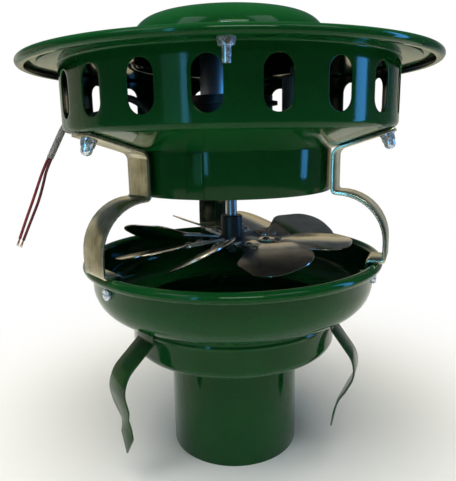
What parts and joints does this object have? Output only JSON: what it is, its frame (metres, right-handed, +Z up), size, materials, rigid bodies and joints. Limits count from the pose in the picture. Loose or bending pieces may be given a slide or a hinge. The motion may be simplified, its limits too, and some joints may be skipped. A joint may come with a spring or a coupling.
{
  "type": "chimney draft inducer",
  "caption": "Round chimney-top draft inducer: spigot and bowl below, a paddle fan, and a slotted motor drum with a rain hat on curved straps.",
  "frame": {"origin": "centre of the spigot's bottom rim, on the fan's axis", "axes": "+Z up along the fan shaft, -Y towards the viewer of the picture, +X to the right"},
  "size_m": [0.3959, 0.3514, 0.3925],
  "materials": {
    "green_enamel": "gloss enamel",
    "dark_green_leg": "worn enamel",
    "zinc_strap": "zinc plated, slightly stained",
    "zinc_fastener": "bright zinc",
    "blade_aluminium": "rolled sheet",
    "black_casting": "semi gloss black",
    "motor_silver": "bright can",
    "bearing_steel": "ground",
    "shaft_steel": "turned",
    "core_iron": "laminated",
    "winding_copper": "enamelled wire",
    "plate_steel": "galvanised",
    "capacitor_white": "moulded",
    "rubber_black": "matt",
    "sheath_grey": "soft vinyl",
    "wire_red": "vinyl",
    "wire_brown": "vinyl",
    "strand_copper": "bare strands"
  },
  "bodies": {
    "base": {"spigot": "green_enamel", "collar": "green_enamel", "bowl": "green_enamel", "neck_tube": "green_enamel", "neck_baffle": "plate_steel", "drum_casing": "green_enamel", "hat": "green_enamel", "hat_washers": "zinc_fastener", "hat_bolts": "zinc_fastener", "hat_nuts": "zinc_fastener", "motor_plate": "plate_steel", "plate_bolts": "zinc_fastener", "plate_nuts": "zinc_fastener", "motor_body": "black_casting", "motor_bell": "black_casting", "motor_can": "motor_silver", "lower_bearing": "bearing_steel", "upper_bearing": "bearing_steel", "stator_core": "core_iron", "stator_coils": "winding_copper", "motor_screws": "zinc_fastener", "capacitor": "capacitor_white", "capacitor_clip": "plate_steel", "strap_bolts": "zinc_fastener", "strap_washers": "zinc_fastener", "strap_acorn_nuts": "zinc_fastener", "strap_foot_bolts": "zinc_fastener", "strap_foot_nuts": "zinc_fastener", "leg_rivets": "zinc_fastener", "lead_grommet": "rubber_black", "cord_sheath": "sheath_grey", "cord_wire_a": "wire_red", "cord_wire_b": "wire_brown", "wire_ends": "strand_copper", "motor_lead": "sheath_grey", "strap_left": "zinc_strap", "leg_tab_left": "dark_green_leg", "strap_right": "zinc_strap", "leg_tab_right": "dark_green_leg", "strap_back": "zinc_strap", "leg_tab_back": "dark_green_leg"},
    "rotor": {"rotor_core": "core_iron", "motor_shaft": "shaft_steel", "fan_hub": "black_casting", "hub_set_screw": "zinc_fastener", "fan_spider": "plate_steel", "blade_rivets": "blade_aluminium", "fan_washer": "zinc_fastener", "fan_nut": "zinc_fastener", "fan_blade_1": "blade_aluminium", "fan_blade_2": "blade_aluminium", "fan_blade_3": "blade_aluminium", "fan_blade_4": "blade_aluminium", "fan_blade_5": "blade_aluminium", "fan_blade_6": "blade_aluminium", "fan_blade_7": "blade_aluminium", "fan_blade_8": "blade_aluminium"},
    "leg_left": {"spring_leg_left": "dark_green_leg"},
    "leg_right": {"spring_leg_right": "dark_green_leg"},
    "leg_back": {"spring_leg_back": "dark_green_leg"}
  },
  "joints": [
    {"name": "fan_spin", "type": "hinge", "parent": "base", "child": "rotor", "pos_m": [0, 0, 0.198], "axis": [0, 0, 1], "continuous": true},
    {"name": "leg_flex_left", "type": "hinge", "parent": "base", "child": "leg_left", "pos_m": [-0.07527, -0.06095, 0.1235], "axis": [0.6293, -0.7771, 0], "range_deg": [-3, 12], "stiffness_Nm_per_rad": 3},
    {"name": "leg_flex_right", "type": "hinge", "parent": "base", "child": "leg_right", "pos_m": [0.09042, -0.03471, 0.1235], "axis": [0.3584, 0.9336, 0], "range_deg": [-6, 6], "stiffness_Nm_per_rad": 3},
    {"name": "leg_flex_back", "type": "hinge", "parent": "base", "child": "leg_back", "pos_m": [-0.01515, 0.09566, 0.1235], "axis": [-0.9877, -0.1564, 0], "range_deg": [-4, 9], "stiffness_Nm_per_rad": 3}
  ]
}
